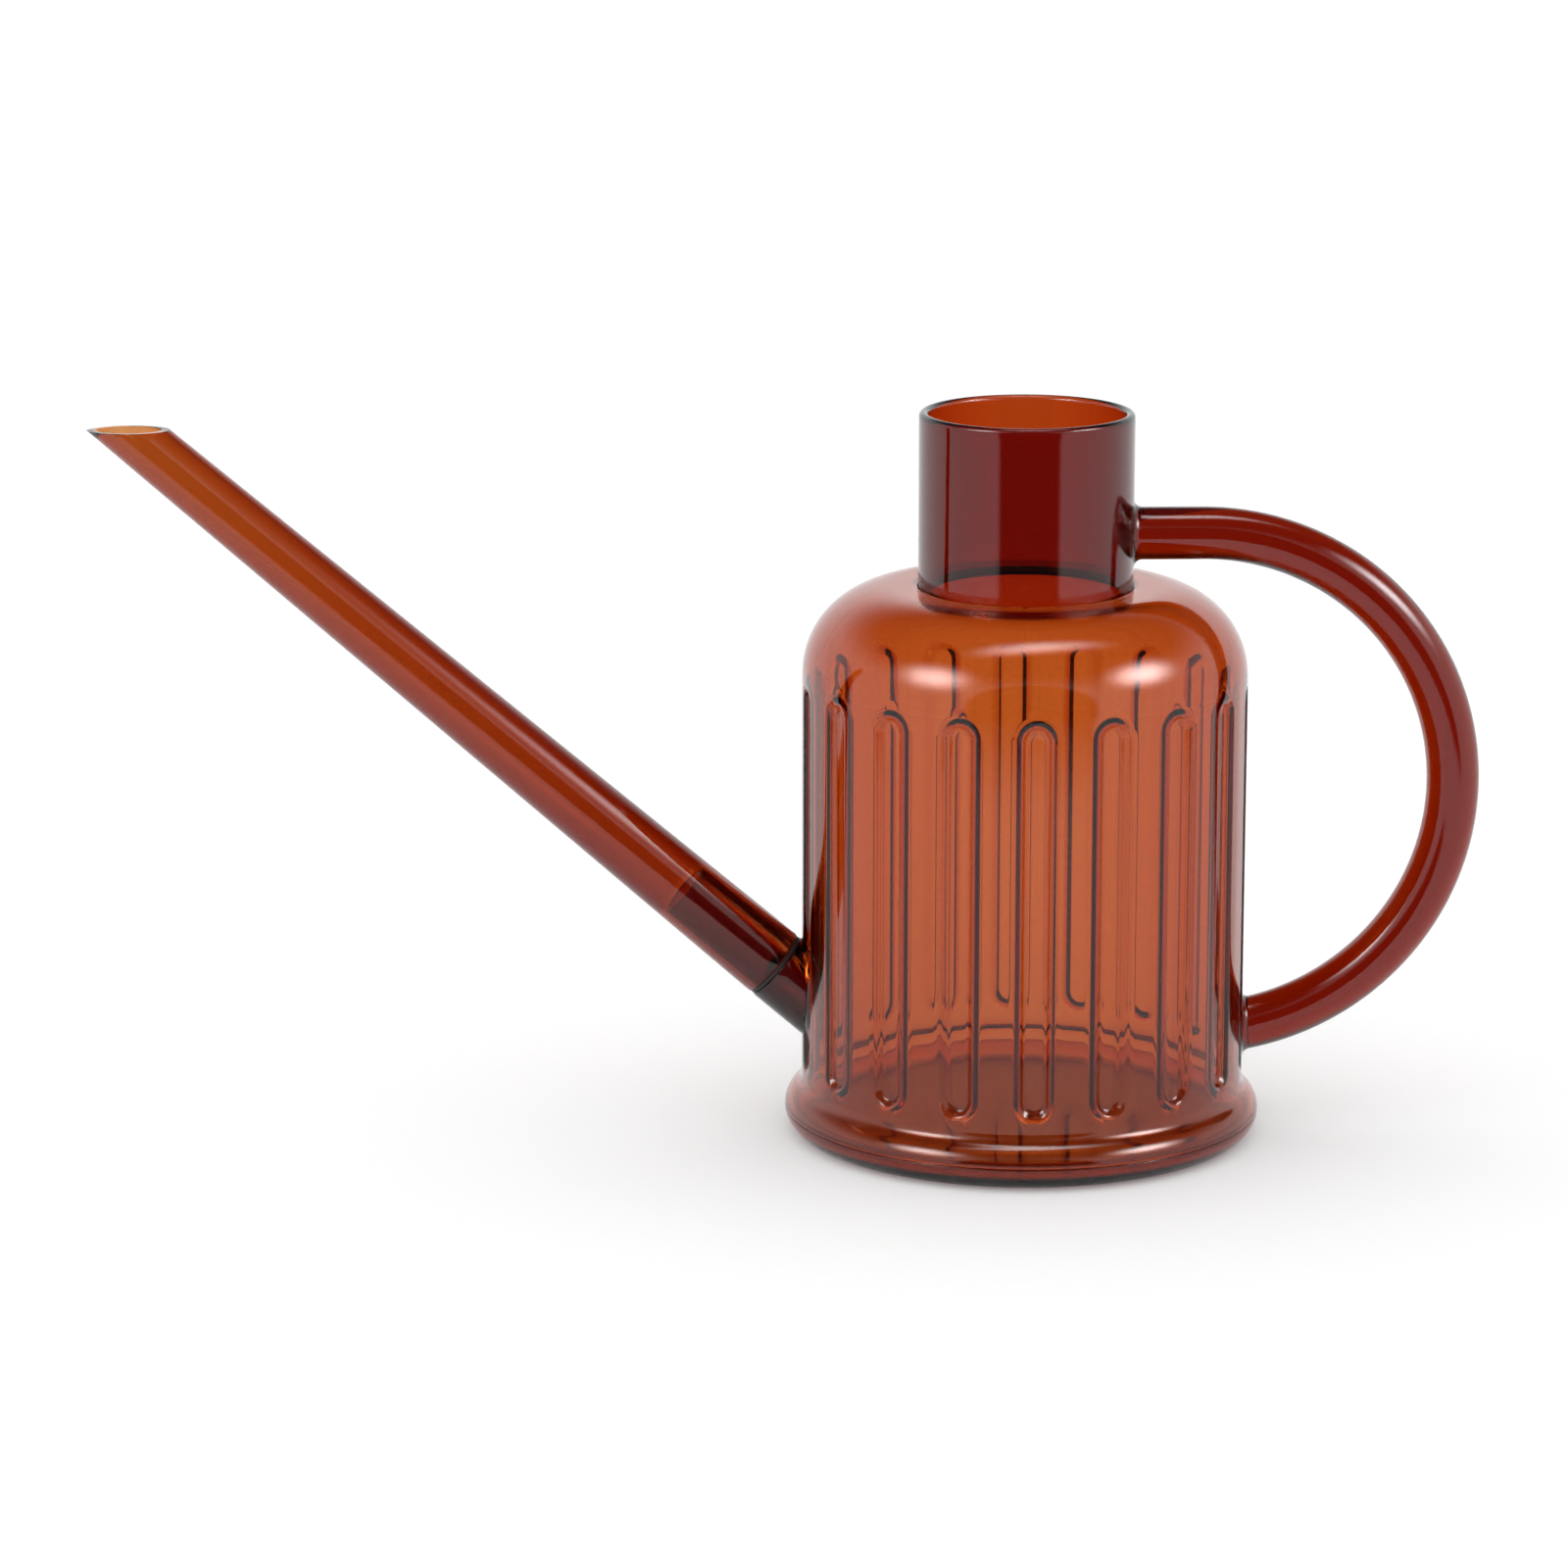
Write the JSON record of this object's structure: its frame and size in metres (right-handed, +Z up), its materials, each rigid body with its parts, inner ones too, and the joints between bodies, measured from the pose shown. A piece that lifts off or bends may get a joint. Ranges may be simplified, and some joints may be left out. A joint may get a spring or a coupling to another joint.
{
  "type": "watering can",
  "caption": "Clear amber indoor watering can: fluted upright body, open filler neck, long straight push-on spout and C-shaped rod handle.",
  "frame": {"origin": "on the body's axis, in the plane the can stands on", "axes": "+Z up along the body's axis, the spout runs out along -X and the handle along +X"},
  "size_m": [0.3423, 0.1184, 0.1813],
  "materials": {
    "clear_amber": "clear polished amber plastic",
    "deep_amber": "clear polished amber plastic in a thicker wall, so darker",
    "spout_amber": "clear polished amber plastic",
    "seal_rubber": "soft dark sealing ring"
  },
  "bodies": {
    "can": {"body_shell": "clear_amber", "base_pan": "clear_amber", "filler_neck": "deep_amber", "handle": "deep_amber", "spout_stub": "deep_amber"},
    "seal": {"spout_seal": "seal_rubber"},
    "spout": {"spout_tube": "spout_amber"}
  },
  "joints": [
    {"name": "spout_pull_off", "type": "slide", "parent": "can", "child": "seal", "axis": [-0.7587, 0, 0.6514], "range_m": [0, 0.031]},
    {"name": "spout_turn", "type": "hinge", "parent": "seal", "child": "spout", "pos_m": [-0.055, 0, 0.0363], "axis": [-0.7587, 0, 0.6514], "continuous": true}
  ]
}
